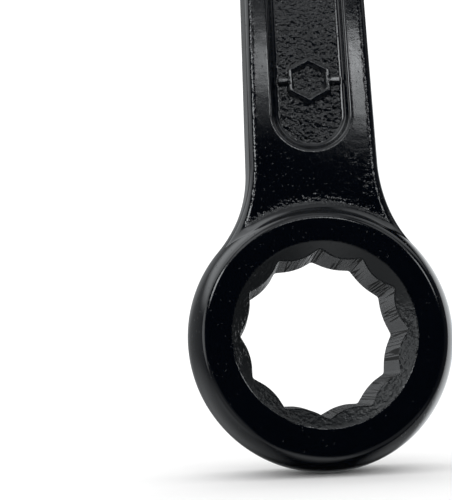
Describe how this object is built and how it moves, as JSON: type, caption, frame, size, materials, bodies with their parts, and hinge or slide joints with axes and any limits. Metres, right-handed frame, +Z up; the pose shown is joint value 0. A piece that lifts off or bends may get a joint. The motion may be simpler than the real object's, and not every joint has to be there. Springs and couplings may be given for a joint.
{
  "type": "slogging ring wrench",
  "caption": "Black forged striking wrench with a closed 12-point ring for a 27 mm nut, a recessed shank, a hanging hole and a thick block that a hammer strikes.",
  "frame": {"origin": "centre of the 12-point bore, halfway through the ring", "axes": "+Z up the shank towards the striking block, Y along the bore with the marked side towards -Y, +X to the right seen from the marked side"},
  "size_m": [0.051, 0.018, 0.18],
  "materials": {
    "black_enamel": "glossy black enamel over a forged surface"
  },
  "bodies": {
    "root": {"ring_head": "black_enamel", "neck": "black_enamel", "shank": "black_enamel", "raised_mark": "black_enamel", "hanging_eye": "black_enamel", "striking_block": "black_enamel"}
  },
  "joints": []
}
